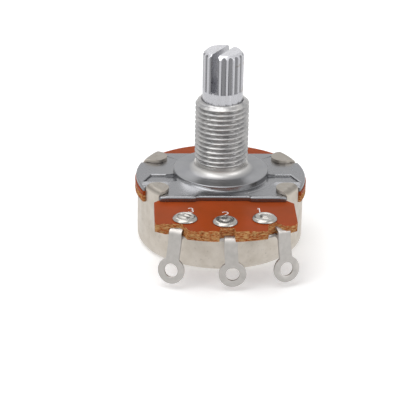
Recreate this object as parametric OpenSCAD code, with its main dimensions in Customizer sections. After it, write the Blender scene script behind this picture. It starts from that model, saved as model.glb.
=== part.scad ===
// Rotary potentiometer, 24 mm size, threaded bushing, split spline shaft.
// The origin is on the shaft axis at the back of the case, Z runs along the shaft.
// The terminals point to -Y. All sizes are in millimetres.

/* [Case] */

// outside diameter of the drawn steel case
case_d = 25; // [24:0.1:27]
// height from the back of the case to the element board
case_h = 7.9; // [7.5:0.1:11]
// sheet thickness of the case
case_t = 0.5; // [0.3:0.05:0.6]
// outside radius of the case's back edge
case_corner = 1.0; // [0.7:0.1:1.4]
// width of each folded tab
tab_w = 3.5; // [2.6:0.1:4]
// distance from the seat's foot to the tip of a front tab
tab_tip_front = 1.6; // [0.8:0.1:2.2]
// distance from the seat's foot to the tip of a rear tab
tab_tip_rear = 1.2; // [0.6:0.1:2]
// angle of the front tabs below the X axis
tab_front = 33; // [31:0.5:35]
// angle of the rear tabs above the X axis
tab_rear = 29; // [25:0.5:33]
// inside radius of the tab's fold
tab_fold = 0.4; // [0.25:0.05:0.5]

/* [Element board] */

// distance that the board stands out past the case wall
board_over = 0.4; // [0.2:0.05:0.8]
// thickness of the board
board_t = 1.6; // [1.2:0.1:2]
// width of the tongue that carries the terminals
tongue_w = 20.6; // [19.8:0.1:21]
// distance from the case wall to the tongue's front edge
tongue_over = 6.5; // [6.2:0.1:7.5]
// width of the tongue's middle, which reaches furthest forward
lobe_w = 11.4; // [10.4:0.1:12.4]
// distance that the tongue's shoulders stand back from its middle
shoulder_back = 2.2; // [1.4:0.1:2.2]
// width of the notch above each terminal
notch_w = 2.3; // [2:0.1:3.2]
// depth of the notch above each terminal
notch_deep = 1.3; // [0.8:0.1:1.6]

/* [Printed element] */

// thickness of the printed films
film_t = 0.04; // [0.02:0.01:0.08]
// distance from the inside of the case wall to the carbon track
track_edge = 0.8; // [0.5:0.1:1]
// width of the carbon track
track_w = 1.2; // [0.8:0.1:1.8]
// half of the angle that the carbon track covers
track_half = 153; // [151:0.5:155]
// half of the angle between the far edges of the end pads
pad_half = 166; // [162:0.5:168]
// distance from the board's hole to the collector ring
collector_edge = 0.3; // [0.2:0.05:0.6]
// width of the collector ring
collector_w = 0.8; // [0.6:0.1:1.4]
// width of the printed leads to the rivets
lead_w = 1.6; // [1:0.1:2]
// diameter of the printed lands around the rivets
land_d = 4; // [3.4:0.1:4.4]

/* [Bushing plate] */

// distance that the plate stands out past the case wall
plate_over = 0.25; // [0.1:0.05:0.6]
// thickness of the plate
plate_t = 0.75; // [0.6:0.05:1.2]
// distance from the shaft axis to the front edge
plate_front = 8.9; // [8.8:0.1:9.2]
// distance from the shaft axis to the rear edge
plate_rear = 7.75; // [7.6:0.05:8.8]
// width of the shallow recess in the front edge
recess_w = 7.8; // [4:0.1:10]
// depth of the shallow recess in the front edge
recess_deep = 0.4; // [0.1:0.05:0.4]
// diameter of the round seat at the panel
seat_d = 14.1; // [12.5:0.1:15]
// height of the round seat above the plate
seat_h = 0.9; // [0.6:0.05:1.4]
// distance from the seat's edge out to the foot of its flank
flank_over = 1.15; // [0.8:0.05:1.4]
// distance that the flank leans outwards on its way down
flank_lean = 0.05; // [0.02:0.01:0.1]
// height of the hollow at the flank's foot
hollow_h = 0.5; // [0.3:0.05:0.6]
// distance that the front of the plate lies below the rest
front_drop = 0.18; // [0.1:0.02:0.3]
// length of the slope from the grooves down to the front
front_slope = 1.8; // [1:0.1:2.4]
// depth of the two grooves beside the seat
groove_deep = 0.3; // [0.1:0.05:0.4]
// width of the two grooves beside the seat
groove_w = 2.55; // [1.4:0.05:2.8]
// distance from the X axis to the grooves
groove_far = 0.5; // [0.3:0.05:1.2]
// distance from the plate's round edge to the end of a groove
groove_end = 1.05; // [0.8:0.05:2]
// distance that the groove's far edge ends before its near edge
groove_mitre = 1.2; // [0.6:0.1:2]

/* [Bushing] */

// outside diameter of the thread
thread_d = 8; // [7.6:0.1:9]
// height of the bushing above the seat
bushing_h = 11.25; // [8:0.25:13]
// length of the plain cone at the foot of the thread
cove_h = 1.1; // [0.6:0.1:1.6]
// chamfer at the top of the bushing, across
bushing_chamfer = 0.55; // [0.3:0.05:0.65]

/* [Shaft] */

// diameter of the shaft
shaft_d = 6; // [5.6:0.05:6.1]
// length of the shaft above the bushing
shaft_out = 7.5; // [6.6:0.1:12]
// length of the splined end
spline_len = 6.0; // [4:0.1:6.4]
// number of splines
spline_count = 18; // [12:2:24]
// depth of the splines
spline_deep = 0.3; // [0.15:0.05:0.4]
// width of the saw slot
slot_w = 1.1; // [0.6:0.1:1.4]
// depth of the saw slot
slot_deep = 5.8; // [3:0.1:6.2]
// direction of the saw slot, from -Y towards -X
slot_turn = 31.2; // [0:0.1:90]
// chamfer at the shaft's tip
tip_chamfer = 0.55; // [0.3:0.05:0.7]

/* [Terminals] */

// distance from the case wall to the rivets
rivet_over = 3.3; // [3.1:0.1:3.5]
// angle between neighbouring rivets
rivet_step = 21.3; // [20.5:0.1:22]
// diameter of the rivet heads
rivet_d = 3.6; // [3.2:0.1:3.8]
// diameter of the rivet shanks
shank_d = 2.4; // [1.8:0.1:2.6]
// diameter of the terminal's pad under the rivet
pad_d = 4.1; // [3.6:0.1:4.4]
// thickness of the terminal sheet
lug_t = 0.45; // [0.3:0.05:0.5]
// width of the terminal's stem
lug_w = 1.95; // [1.6:0.05:2.2]
// distance from the rivet to the outer face of the stem
lug_reach = 3.2; // [2.9:0.1:3.4]
// inside radius of the terminal's bend
lug_bend = 0.4; // [0.25:0.05:0.5]
// distance from the bend down to the ring's centre
ring_drop = 4.3; // [3.6:0.05:4.6]
// outside diameter of the solder ring
ring_d = 3.98; // [3.4:0.02:4.4]
// diameter of the hole in the solder ring
ring_hole = 2.05; // [1.4:0.05:2.3]

/* [Rotor] */

// thickness of the wiper carrier
carrier_t = 1.5; // [1.2:0.1:1.7]
// distance from the board down to the carrier's disc
disc_drop = 1.7; // [1.5:0.1:2.2]
// distance from the board down to the top of the carrier's hub
hub_drop = 0.5; // [0.3:0.1:0.8]
// height of the carrier's foot below the disc
hub_foot = 0.6; // [0.3:0.1:1]
// wall of the carrier's hub around the shaft's journal
hub_wall = 1.9; // [1.4:0.1:2.1]
// half of the angle of each stop block
stop_half = 14.5; // [12:0.5:14.5]
// width of the stop blocks along the radius
stop_w = 1.3; // [1:0.1:1.5]
// distance that the stop post reaches below the plate
stop_down = 2.6; // [2.2:0.1:2.8]
// thickness of the wiper sheet
wiper_t = 0.22; // [0.15:0.01:0.3]
// width of each contact finger
finger_w = 0.9; // [0.6:0.1:1]
// length of each contact finger
finger_len = 2.6; // [2.2:0.1:3]
// width of the wiper's root along the fingers
root_w = 1.5; // [1.3:0.1:1.8]
// diameter of the studs that hold the wiper
stud_d = 0.8; // [0.6:0.05:1]
// thickness of the retaining ring
clip_t = 0.5; // [0.4:0.05:0.6]
// distance that the retaining ring stands out past the shaft
clip_over = 1.3; // [0.9:0.1:1.4]
// depth of the shaft's groove for the retaining ring
clip_deep = 0.6; // [0.3:0.05:0.8]
// thickness of the thrust washer
washer_t = 0.3; // [0.2:0.05:0.4]
// distance that the thrust washer stands out past the shaft
washer_over = 1.5; // [1:0.1:1.6]

/* [Clearances] */

// radial clearance between shaft and bushing
shaft_clear = 0.05; // [0.02:0.01:0.09]
// axial clearance at the washer and the retaining ring
axial_clear = 0.05; // [0.03:0.01:0.1]
// clearance between the wiper and the printed films
wiper_clear = 0.05; // [0.03:0.01:0.1]
// clearance of the board and the plate around the tabs
tab_clear = 0.3; // [0.2:0.05:0.4]
// radial clearance around the rivets
rivet_clear = 0.02; // [0.01:0.01:0.05]
// gap under the shaft's lower end
pivot_gap = 0.1; // [0.05:0.05:0.3]
// gap between the tabs and the plate
tab_gap = 0.02; // [0.01:0.01:0.05]
// radial clearance between the wiper carrier and the case wall
carrier_clear = 0.8; // [0.5:0.1:1]
// radial clearance between the retaining ring and the stop blocks
clip_clear = 0.6; // [0.3:0.1:0.8]
// radial clearance between the stop blocks and the board
stop_clear = 0.3; // [0.2:0.05:0.5]

/* [Hidden] */
$fn = 96;
case_r = case_d / 2;
wall_r = case_r - case_t;
z_board = case_h;
z_plate = z_board + board_t;
z_top = z_plate + plate_t;
z_front = z_top - front_drop;
z_seat = z_top + seat_h;
z_bushing = z_seat + bushing_h;
z_tip = z_bushing + shaft_out;
shaft_r = shaft_d / 2;
z_film = z_board - film_t;
hub_top = z_board - hub_drop;
disc_top = z_board - disc_drop;
disc_bottom = disc_top - carrier_t;
hub_bottom = disc_bottom - hub_foot;
journal_r = shaft_r - 0.5;
journal_flat = shaft_r - 1;
pivot_r = shaft_r - 1.5;
hub_r = journal_r + hub_wall;
carrier_r = wall_r - carrier_clear;
washer_top = z_plate - axial_clear;
clip_top = washer_top - washer_t - axial_clear;
clip_bottom = clip_top - clip_t;
clip_r = shaft_r + clip_over;
clip_groove_r = shaft_r - clip_deep;
stop_in = clip_r + clip_clear;
stop_out = stop_in + stop_w;
hole_r = stop_out + stop_clear;
board_r = case_r + board_over;
tongue_reach = case_r + tongue_over;
plate_r = case_r + plate_over;
seat_r = seat_d / 2;
flank_r = seat_r + flank_over;
hollow_r = seat_r + flank_lean;
tip_front = flank_r + tab_tip_front;
tip_rear = flank_r + tab_tip_rear;
rivet_r = case_r + rivet_over;
shank_r = shank_d / 2;
collector_in = hole_r + collector_edge;
collector_out = collector_in + collector_w;
collector_mid = collector_in + collector_w / 2;
track_out = wall_r - track_edge;
track_in = track_out - track_w;
track_mid = track_out - track_w / 2;
root_x = -finger_len + 0.1;
stud_x = root_x - root_w / 2;
stud_y = [collector_mid, track_mid - 0.1];
tab_floor = wall_r - tab_fold - 0.05;
spline_r = spline_deep + 0.08;
lug_side = [-0.43, 0.74, 1.8];
lug_lean = [-9, 0, -8];
lug_skew = [-0.27, 0.33, 0.22];

// Places children at rivet i, with the outward direction along -Y.
module at_rivet(i) {
    rotate([0, 0, i * rivet_step])
        translate([0, -rivet_r, 0])
            children();
}

// Sector of a ring, centred on the direction mid.
module ring_sector(r_in, r_out, half, mid, z0, h) {
    translate([0, 0, z0])
        rotate([0, 0, mid - half])
            rotate_extrude(angle = 2 * half)
                translate([r_in, 0])
                    square([r_out - r_in, h]);
}

// Outline of one tab seen from above, pointing along +X.
module tab_outline(tip_r, w) {
    translate([tip_r + w / 2, 0])
        circle(d = w);
    translate([tip_r + w / 2, -w / 2])
        square([case_r + 2 - tip_r - w / 2, w]);
}

// Section of the cup: back, corner, wall, and the fold that makes the tabs.
module cup_section() {
    fold_x = wall_r - tab_fold;
    fold_z = z_top + tab_gap - tab_fold;
    tip_r = min(tip_front, tip_rear);
    difference() {
        union() {
            translate([0, case_corner])
                square([case_r, fold_z - case_corner]);
            square([case_r - case_corner, case_corner + 0.1]);
            translate([case_r - case_corner, case_corner])
                circle(r = case_corner);
        }
        translate([0, case_corner])
            square([wall_r, fold_z]);
        translate([0, case_t])
            square([case_r - case_corner, case_corner]);
        translate([case_r - case_corner, case_corner])
            circle(r = case_corner - case_t);
        translate([-case_d, -1])
            square([case_d, case_h + 9]);
    }
    intersection() {
        translate([fold_x, fold_z])
            difference() {
                circle(r = tab_fold + case_t);
                circle(r = tab_fold);
            }
        translate([fold_x, fold_z])
            square(tab_fold + case_t + 1);
    }
    translate([tip_r, z_top + tab_gap])
        square([fold_x - tip_r, case_t]);
}

// Drawn cup with the four folded tabs. The rim is cut back at the printed leads.
module case_cup() {
    color([0.78, 0.76, 0.72])
        difference() {
            intersection() {
                rotate_extrude()
                    cup_section();
                union() {
                    translate([0, 0, -1])
                        cylinder(h = z_board + 1, r = case_r + 2);
                    for (a = [tab_rear, 180 - tab_rear])
                        rotate([0, 0, a])
                            translate([0, 0, z_board - 1])
                                linear_extrude(z_top + 4 - z_board)
                                    tab_outline(tip_rear, tab_w);
                    for (a = [180 + tab_front, -tab_front])
                        rotate([0, 0, a])
                            translate([0, 0, z_board - 1])
                                linear_extrude(z_top + 4 - z_board)
                                    tab_outline(tip_front, tab_w);
                }
            }
            ring_sector(wall_r - 1, case_r + 1, 42, -90, case_h - 0.5, 1);
        }
}

// Slots that let the four tabs pass.
module tab_slots(floor_r, w, z0, h) {
    for (a = [tab_rear, 180 - tab_rear, 180 + tab_front, -tab_front])
        rotate([0, 0, a])
            translate([floor_r, -w / 2, z0])
                cube([4, w, h]);
}

// Phenolic board with the tongue and the notches for the terminals.
module element_board() {
    color([0.62, 0.25, 0.08])
        difference() {
            translate([0, 0, z_board])
                linear_extrude(board_t) {
                    circle(r = board_r);
                    translate([-tongue_w / 2, shoulder_back - tongue_reach])
                        square([tongue_w, tongue_reach - shoulder_back]);
                    translate([-lobe_w / 2, -tongue_reach])
                        square([lobe_w, tongue_reach]);
                }
            translate([0, 0, z_board - 1])
                cylinder(h = board_t + 2, r = hole_r);
            tab_slots(wall_r - 0.1, tab_w + 0.4, z_board - 1, board_t + 2);
            for (i = [-1, 0, 1])
                at_rivet(i) {
                    translate([0, 0, z_board - 1])
                        cylinder(h = board_t + 2, r = shank_r + rivet_clear);
                    translate([lug_side[i + 1] * 0.6 - notch_w / 2,
                               rivet_r - tongue_reach - 2, z_board - 1])
                        cube([notch_w, notch_deep + 2, board_t + 2]);
                }
        }
}

module carbon_track() {
    color([0.06, 0.06, 0.06])
        ring_sector(track_in, track_out, track_half, 90, z_film, film_t);
}

// Silver pad at one end of the track, with its lead and the land at the rivet.
module end_pad(i) {
    color([0.8, 0.8, 0.78])
        difference() {
            union() {
                ring_sector(track_in, track_out, (pad_half - track_half) / 2,
                            90 - i * (pad_half + track_half) / 2, z_film, film_t);
                at_rivet(i)
                    translate([0, 0, z_film])
                        cylinder(h = film_t, d = land_d);
                at_rivet(i)
                    translate([-lead_w / 2, 0, z_film])
                        cube([lead_w, rivet_r - track_out + 0.4, film_t]);
            }
            at_rivet(i)
                translate([0, 0, z_film - 1])
                    cylinder(h = 3, r = shank_r + rivet_clear);
        }
}

module end_pad_1() {
    end_pad(1);
}

module end_pad_3() {
    end_pad(-1);
}

// Silver ring, its lead between the end pads and the land at the middle rivet.
module collector_ring() {
    color([0.82, 0.82, 0.8])
        difference() {
            union() {
                translate([0, 0, z_film])
                    cylinder(h = film_t, r = collector_out);
                translate([-lead_w / 2, -rivet_r, z_film])
                    cube([lead_w, rivet_r - collector_mid, film_t]);
                at_rivet(0)
                    translate([0, 0, z_film])
                        cylinder(h = film_t, d = land_d);
            }
            translate([0, 0, z_film - 1])
                cylinder(h = 3, r = collector_in);
            at_rivet(0)
                translate([0, 0, z_film - 1])
                    cylinder(h = 3, r = shank_r + rivet_clear);
        }
}

// Outline of the casting's plate seen from above, without its cut-outs.
module plate_outline() {
    intersection() {
        circle(r = plate_r);
        translate([-case_d, -plate_front])
            square([2 * case_d, plate_front + plate_rear]);
    }
}

// Plate of the casting: flat at the rear, with a slope down to a lower front.
module plate(slope_y) {
    difference() {
        translate([0, 0, z_plate])
            linear_extrude(plate_t)
                plate_outline();
        translate([-case_d, 0, 0])
            rotate([90, 0, 90])
                linear_extrude(2 * case_d)
                    polygon([[-slope_y, z_top], [-slope_y, z_top + 1],
                             [-case_d, z_top + 1], [-case_d, z_front],
                             [-slope_y - front_slope, z_front]]);
    }
}

// Section of the seat: hollow foot, leaning flank, flat seat and cove.
module seat_section() {
    polygon(concat([[0, z_plate + 0.1], [flank_r, z_plate + 0.1]],
                   [for (a = [0 : 22.5 : 90])
                       [flank_r - (flank_r - hollow_r) * sin(a),
                        z_front + 0.02 + hollow_h * (1 - cos(a))]],
                   [[seat_r, z_seat], [thread_d / 2 + 1, z_seat],
                    [thread_d / 2 + 0.3, z_seat + cove_h * 0.35],
                    [thread_d / 2, z_seat + cove_h],
                    [0, z_seat + cove_h]]));
}

// One-piece casting: plate, seat, bushing and the stop post below the plate.
module bushing_plate() {
    groove_near = groove_far + groove_w;
    groove_tip = plate_r - groove_end;
    color([0.7, 0.71, 0.72]) {
        difference() {
            union() {
                plate(groove_near);
                intersection() {
                    rotate_extrude()
                        seat_section();
                    linear_extrude(z_bushing)
                        plate_outline();
                }
                translate([0, 0, z_seat])
                    cylinder(h = bushing_h - bushing_chamfer, d = thread_d);
                translate([0, 0, z_bushing - bushing_chamfer])
                    cylinder(h = bushing_chamfer, r1 = thread_d / 2,
                             r2 = thread_d / 2 - bushing_chamfer);
            }
            translate([0, 0, z_plate - 1])
                cylinder(h = z_tip, r = shaft_r + shaft_clear);
            translate([-recess_w / 2, -plate_front - 1, z_plate - 1])
                cube([recess_w, recess_deep + 1, plate_t + 2]);
            tab_slots(tab_floor, tab_w + 2 * tab_clear, z_plate - 1, plate_t + 1.2);
            for (s = [-1, 1])
                translate([0, 0, z_top - groove_deep])
                    linear_extrude(groove_deep + seat_h + 0.1)
                        difference() {
                            polygon([[s * (seat_r - 0.3), -groove_far],
                                     [s * (groove_tip - groove_mitre), -groove_far],
                                     [s * groove_tip, -groove_near],
                                     [s * (seat_r - 0.3), -groove_near]]);
                            circle(r = seat_r);
                        }
        }
        ring_sector(stop_in, stop_out, stop_half, -90, z_plate - stop_down, stop_down + 0.2);
    }
}

// Turned shaft with splines, saw slot, ring groove, flats and pivot.
module shaft() {
    color([0.74, 0.74, 0.75])
        difference() {
            union() {
                rotate_extrude()
                    polygon([[0, case_t + pivot_gap], [pivot_r - 0.4, case_t + pivot_gap],
                             [pivot_r, case_t + pivot_gap + 0.4],
                             [pivot_r, hub_bottom + 0.5], [0, hub_bottom + 0.5]]);
                intersection() {
                    translate([0, 0, hub_bottom])
                        cylinder(h = hub_top + 0.5 - hub_bottom, r = journal_r);
                    translate([-journal_flat, -shaft_r, hub_bottom])
                        cube([2 * journal_flat, shaft_d, hub_top + 0.5 - hub_bottom]);
                }
                rotate_extrude()
                    polygon([[0, hub_top], [shaft_r, hub_top], [shaft_r, clip_bottom],
                             [clip_groove_r, clip_bottom], [clip_groove_r, clip_top],
                             [shaft_r, clip_top], [shaft_r, z_tip - tip_chamfer],
                             [shaft_r - tip_chamfer, z_tip], [0, z_tip]]);
            }
            for (k = [0 : spline_count - 1])
                rotate([0, 0, (k + 0.5) * 360 / spline_count - 90 - slot_turn])
                    translate([shaft_r + 0.08, 0, z_tip - spline_len])
                        cylinder(h = spline_len + 1, r = spline_r, $fn = 24);
            rotate([0, 0, -slot_turn])
                translate([-slot_w / 2, -shaft_d, z_tip - slot_deep])
                    cube([slot_w, 2 * shaft_d, slot_deep + 1]);
        }
}

// Open ring in the shaft's groove.
module retaining_ring() {
    color([0.35, 0.35, 0.37])
        difference() {
            translate([0, 0, clip_bottom + 0.02])
                cylinder(h = clip_t - 0.04, r = clip_r);
            translate([0, 0, clip_bottom - 1])
                cylinder(h = clip_t + 2, r = clip_groove_r + 0.02);
            translate([-clip_groove_r + 0.7, 0, clip_bottom - 1])
                cube([2 * clip_groove_r - 1.4, 2 * shaft_r, clip_t + 2]);
        }
}

module thrust_washer() {
    color([0.66, 0.6, 0.5])
        difference() {
            translate([0, 0, washer_top - washer_t])
                cylinder(h = washer_t, r = shaft_r + washer_over);
            translate([0, 0, washer_top - washer_t - 1])
                cylinder(h = washer_t + 2, r = shaft_r + 0.08);
        }
}

// Moulded disc with hub, stop block and the two studs for the wiper.
module wiper_carrier() {
    color([0.1, 0.1, 0.11])
        difference() {
            union() {
                translate([0, 0, disc_bottom])
                    cylinder(h = carrier_t, r = carrier_r);
                translate([0, 0, hub_bottom])
                    cylinder(h = hub_top - hub_bottom, r = hub_r);
                for (y = stud_y)
                    translate([stud_x, y, disc_top - 0.1])
                        cylinder(h = wiper_t + 0.25, d = stud_d, $fn = 32);
                ring_sector(stop_in, stop_out, stop_half, 90,
                            disc_top - 0.1, z_plate - 0.6 - disc_top);
            }
            intersection() {
                translate([0, 0, hub_bottom - 1])
                    cylinder(h = hub_top - hub_bottom + 2, r = journal_r);
                translate([-journal_flat, -shaft_r, hub_bottom - 1])
                    cube([2 * journal_flat, shaft_d, hub_top - hub_bottom + 2]);
            }
        }
}

// Side view of one contact finger, from its root to the raised tip.
module finger_section() {
    rise = z_film - wiper_clear - disc_top;
    polygon([[-finger_len, 0], [-finger_len + 0.4, 0], [-0.4, rise - 0.35 - wiper_t],
             [0.3, rise - 0.35], [0.15, rise - 0.2], [0.3, rise - 0.1], [0, rise],
             [-0.3, rise - 0.1], [-0.6, rise - 0.35], [-finger_len + 0.3, wiper_t],
             [-finger_len, wiper_t]]);
}

// Spring sheet with one finger on the track and one on the collector ring.
module wiper_spring() {
    color([0.72, 0.5, 0.25])
        translate([0, 0, disc_top]) {
            difference() {
                translate([root_x - root_w, collector_mid - finger_w / 2 - 0.2, 0])
                    cube([root_w, track_mid - collector_mid + finger_w + 0.2, wiper_t]);
                for (y = stud_y)
                    translate([stud_x, y, -1])
                        cylinder(h = 3, d = stud_d + 0.04, $fn = 32);
            }
            for (y = [collector_mid, track_mid])
                translate([0, y + finger_w / 2, 0])
                    rotate([90, 0, 0])
                        linear_extrude(finger_w)
                            finger_section();
        }
}

// Semi-tubular rivet through board and terminal, dished head above.
module rivet(i) {
    under = z_film - lug_t;
    head_r = rivet_d / 2;
    foot_r = shank_r + 0.5;
    color([0.78, 0.78, 0.78])
        at_rivet(i)
            rotate_extrude()
                polygon([[0, under - 0.25], [foot_r - 0.2, under - 0.25],
                         [foot_r, under - 0.12], [foot_r, under], [shank_r, under],
                         [shank_r, z_plate], [head_r, z_plate], [head_r, z_plate + 0.16],
                         [head_r - 0.2, z_plate + 0.34], [head_r - 0.42, z_plate + 0.32],
                         [head_r - 0.75, z_plate + 0.16], [head_r - 0.9, z_plate + 0.18],
                         [head_r - 1.18, z_plate + 0.36], [head_r - 1.4, z_plate + 0.36],
                         [0, z_plate + 0.22]]);
}

module rivet_1() {
    rivet(1);
}

module rivet_2() {
    rivet(0);
}

module rivet_3() {
    rivet(-1);
}

// Points on an arc about the origin.
function arc_points(r, a0, a1) =
    [for (k = [0 : 10]) let (a = a0 + (a1 - a0) * k / 10) [r * cos(a), r * sin(a)]];

// Side section of the bend, with a short piece of the arm and of the stem.
module bend_section(lean) {
    outer = lug_bend + lug_t;
    last = 180 + lean;
    down = [-sin(last), cos(last)] * 0.3;
    polygon(concat([[0.5, outer]], arc_points(outer, 90, last),
                   [outer * [cos(last), sin(last)] + down,
                    lug_bend * [cos(last), sin(last)] + down],
                   arc_points(lug_bend, last, 90), [[0.5, lug_bend]]));
}

// Flat shape of the stem and the solder ring, in the terminal's own plane.
module stem_outline(skew) {
    polygon([[-lug_w / 2, -0.1], [lug_w / 2, -0.1], [lug_w / 2, -0.3],
             [lug_w / 2 + skew, -ring_drop], [-lug_w / 2 + skew, -ring_drop],
             [-lug_w / 2, -0.3]]);
    translate([skew, -ring_drop])
        circle(d = ring_d);
}

// Tinned terminal: pad under the rivet, arm, bend, stem and solder ring.
module terminal(i) {
    side = lug_side[i + 1];
    lean = lug_lean[i + 1];
    skew = lug_skew[i + 1];
    arm = lug_reach - lug_bend - lug_t;
    bend_z = z_film - lug_t - lug_bend;
    color([0.72, 0.72, 0.71])
        at_rivet(i) {
            translate([0, 0, z_film - lug_t])
                linear_extrude(lug_t)
                    difference() {
                        union() {
                            circle(d = pad_d);
                            translate([side - lug_w / 2, -arm])
                                square([lug_w, arm]);
                        }
                        circle(r = shank_r + rivet_clear);
                    }
            translate([side - lug_w / 2, -arm, bend_z])
                rotate([90, 0, 90])
                    linear_extrude(lug_w)
                        bend_section(lean);
            translate([side, -arm, bend_z])
                rotate([lean, 0, 0])
                    difference() {
                        translate([0, -lug_bend, 0])
                            rotate([90, 0, 0])
                                linear_extrude(lug_t)
                                    stem_outline(skew);
                        translate([skew, 0, -ring_drop])
                            rotate([90, 0, 0])
                                cylinder(h = 3, d = ring_hole);
                    }
        }
}

module terminal_1() {
    terminal(1);
}

module terminal_2() {
    terminal(0);
}

module terminal_3() {
    terminal(-1);
}

case_cup();
element_board();
carbon_track();
collector_ring();
end_pad_1();
end_pad_3();
bushing_plate();
shaft();
retaining_ring();
thrust_washer();
wiper_carrier();
wiper_spring();
rivet_1();
rivet_2();
rivet_3();
terminal_1();
terminal_2();
terminal_3();
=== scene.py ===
"""Studio scene of a rotary potentiometer with a threaded bushing and a split, splined shaft.

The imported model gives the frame: its origin is on the shaft's axis at the back of the can, Z runs
along the shaft and the terminals point to -Y. Lengths in this file are millimetres unless a name
or a property says otherwise, and meshes are written in metres.
"""
import math
from functools import partial

import bpy
import numpy as np
from bpy.types import Operator, PropertyGroup
from mathutils import Matrix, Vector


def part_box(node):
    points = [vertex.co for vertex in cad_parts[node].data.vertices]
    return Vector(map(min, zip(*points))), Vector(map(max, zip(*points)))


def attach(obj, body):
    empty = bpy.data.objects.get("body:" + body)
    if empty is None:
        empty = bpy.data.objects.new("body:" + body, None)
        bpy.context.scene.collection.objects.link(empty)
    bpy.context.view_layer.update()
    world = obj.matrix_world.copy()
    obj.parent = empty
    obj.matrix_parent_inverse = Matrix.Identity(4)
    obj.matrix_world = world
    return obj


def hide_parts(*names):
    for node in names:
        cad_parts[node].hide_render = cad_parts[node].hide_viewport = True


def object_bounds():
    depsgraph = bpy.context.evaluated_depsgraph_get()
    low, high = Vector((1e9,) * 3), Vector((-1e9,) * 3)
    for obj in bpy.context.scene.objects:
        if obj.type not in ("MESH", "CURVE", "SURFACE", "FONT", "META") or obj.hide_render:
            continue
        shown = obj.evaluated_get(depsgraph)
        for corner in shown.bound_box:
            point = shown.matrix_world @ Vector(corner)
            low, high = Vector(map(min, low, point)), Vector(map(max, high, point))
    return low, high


bl_info = {
    "name": "Rotary Potentiometer",
    "version": (1, 0, 0),
    "blender": (4, 5, 0),
    "location": "View3D > Sidebar > Potentiometer",
    "description": "Builds and finishes a rotary potentiometer around its packed frame",
    "category": "Object",
}

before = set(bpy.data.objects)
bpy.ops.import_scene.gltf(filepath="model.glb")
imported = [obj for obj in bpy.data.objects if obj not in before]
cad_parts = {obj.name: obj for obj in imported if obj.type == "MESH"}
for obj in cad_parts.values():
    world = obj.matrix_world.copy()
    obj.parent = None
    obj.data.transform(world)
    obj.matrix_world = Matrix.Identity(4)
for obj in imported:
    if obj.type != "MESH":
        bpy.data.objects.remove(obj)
CAD_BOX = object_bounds()
MM = 0.001
WHITE = (1.0, 1.0, 1.0, 1.0)

# Heights along the shaft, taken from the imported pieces: the board's lower face, its upper face
# under the plate, the plate's top, the seat, the foot of the thread over a cove, and the
# bushing's end.
Z_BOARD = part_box("element_board")[0].z / MM
Z_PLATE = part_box("element_board")[1].z / MM
Z_TOP = Z_PLATE + 0.75
Z_SEAT = Z_TOP + 0.9
COVE_H = 1.1
Z_THREAD = Z_SEAT + COVE_H
Z_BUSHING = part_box("bushing_plate")[1].z / MM

# Radii about the shaft's axis: shaft, bore of the bushing, thread, seat and foot of its wall.
SHAFT_R = 3.0
BORE_R = 3.05
THREAD_R = 4.0
SEAT_R = 7.10
WALL_R = 7.16

# Directions of the can's front and rear tabs on the right, in degrees.
TAB_FORE = -33.0
TAB_AFT = 29.0


# Numbers and colours

def linear(code):
    """Scene-linear RGBA of an sRGB hex colour such as C9C3B8."""
    v = np.array([int(code[i:i + 2], 16) for i in (0, 2, 4)]) / 255.0
    v = np.where(v <= 0.04045, v / 12.92, ((v + 0.055) / 1.055) ** 2.4)
    return (float(v[0]), float(v[1]), float(v[2]), 1.0)


def smooth_step(x, a, b):
    """0 below a, 1 above b, and 3t^2 - 2t^3 between them."""
    t = np.clip((x - a) / (b - a), 0.0, 1.0)
    return t * t * (3.0 - 2.0 * t)


def waves(x, y, seed, count, low, high):
    """Sum of count sine waves with random directions, phases and lengths from low to high mm,
    scaled so that its usual size is about 1."""
    rng = np.random.default_rng(seed)
    turn = rng.uniform(0.0, 2.0 * math.pi, count)
    number = 2.0 * math.pi / np.exp(rng.uniform(math.log(low), math.log(high), count))
    phase = rng.uniform(0.0, 2.0 * math.pi, count)
    arg = (x[..., None] * np.cos(turn) + y[..., None] * np.sin(turn)) * number + phase
    return np.sin(arg).sum(-1) * math.sqrt(2.0 / count)


# Outlines and surfaces

def line(a, b, step=0.02):
    """Points from a to b at equal steps, without b."""
    a, b = np.array(a, float), np.array(b, float)
    n = max(2, int(math.ceil(np.hypot(*(b - a)) / step)))
    return a + (b - a) * np.linspace(0.0, 1.0, n, endpoint=False)[:, None]


def arc(r, a0, a1, step=0.02):
    """Points of a circle of radius r about the axis from angle a0 to a1, without the last."""
    n = max(2, int(math.ceil(abs(math.radians(a1 - a0)) * r / step)))
    a = np.radians(a0 + (a1 - a0) * np.linspace(0.0, 1.0, n, endpoint=False))
    return np.stack([r * np.cos(a), r * np.sin(a)], -1)


def lines(*corners):
    """Points along the straight lines from corner to corner, without the last corner."""
    return np.concatenate([line(p, q) for p, q in zip(corners[:-1], corners[1:])])


def slot_corners(angle, half, floor, reach):
    """Corners of a slot cut inwards through a round edge: first wall's mouth, its foot, the second
    wall's foot and its mouth. The walls stand half degrees to either side of angle, nearly along
    the radius, from the radius reach in to floor."""
    out = []
    for r, side in ((reach, -half), (floor, -half + 0.4), (floor, half - 0.4), (reach, half)):
        a = math.radians(angle + side)
        out.append((r * math.cos(a), r * math.sin(a)))
    return out


def angle_of(p):
    """Direction of a point about the axis, in degrees."""
    return math.degrees(math.atan2(p[1], p[0]))


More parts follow.
